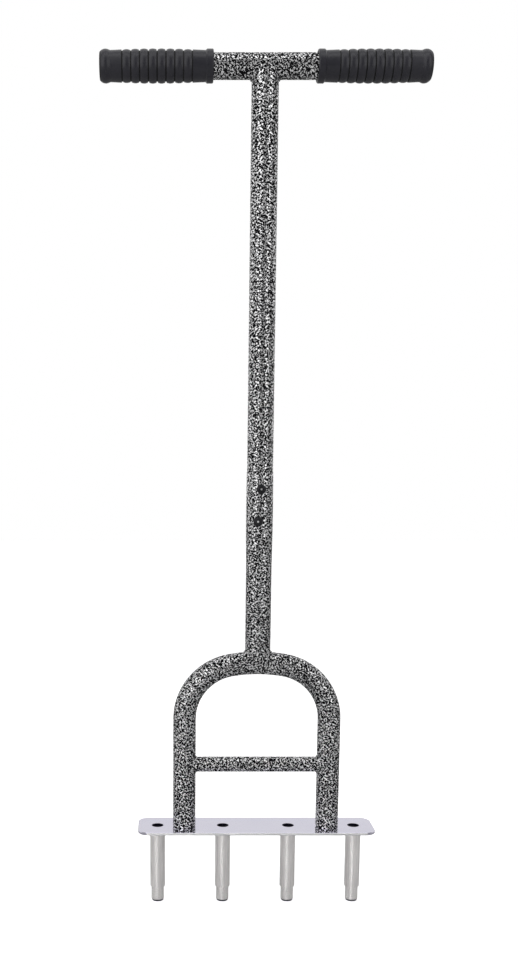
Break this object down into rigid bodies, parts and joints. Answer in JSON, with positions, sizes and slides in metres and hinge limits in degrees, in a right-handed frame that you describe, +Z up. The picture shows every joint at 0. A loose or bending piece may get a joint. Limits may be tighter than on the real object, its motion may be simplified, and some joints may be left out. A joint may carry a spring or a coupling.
{
  "type": "lawn aerator fork",
  "caption": "Step-on lawn aerator with a T handle, a screwed two-piece shaft, an arched leg frame with a foot bar, and a base plate carrying hollow coring tines.",
  "frame": {"origin": "centre of the plane that the four tine tips stand on", "axes": "+X along the handle and the base plate, +Z up the shaft, -Y towards the side with the shaft screws' heads"},
  "size_m": [0.3398, 0.055, 0.9144],
  "materials": {
    "hammered_paint": "hammered silver-vein enamel, black in the hollows",
    "grip_rubber": "matt moulded rubber",
    "plate_steel": "polished sheet steel",
    "tine_steel": "satin turned steel",
    "weld_steel": "brushed-off weld bead",
    "black_steel": "black oxide, satin",
    "zinc_steel": "bright zinc plate"
  },
  "bodies": {
    "root": {"handle_bar": "hammered_paint", "left_grip": "grip_rubber", "right_grip": "grip_rubber", "upper_shaft": "hammered_paint", "handle_weld": "hammered_paint", "lower_shaft": "hammered_paint", "upper_shaft_screw": "black_steel", "lower_shaft_screw": "black_steel", "upper_shaft_nut": "zinc_steel", "lower_shaft_nut": "zinc_steel", "arch_frame": "hammered_paint", "arch_weld": "hammered_paint", "step_bar": "hammered_paint", "left_step_bar_weld": "hammered_paint", "right_step_bar_weld": "hammered_paint", "left_leg_plug": "zinc_steel", "right_leg_plug": "zinc_steel", "left_leg_bolt": "black_steel", "right_leg_bolt": "black_steel", "left_leg_lock_washer": "zinc_steel", "right_leg_lock_washer": "zinc_steel", "base_plate": "plate_steel", "tine_1": "tine_steel", "tine_weld_1": "weld_steel", "tine_2": "tine_steel", "tine_weld_2": "weld_steel", "tine_3": "tine_steel", "tine_weld_3": "weld_steel", "tine_4": "tine_steel", "tine_weld_4": "weld_steel"}
  },
  "joints": []
}
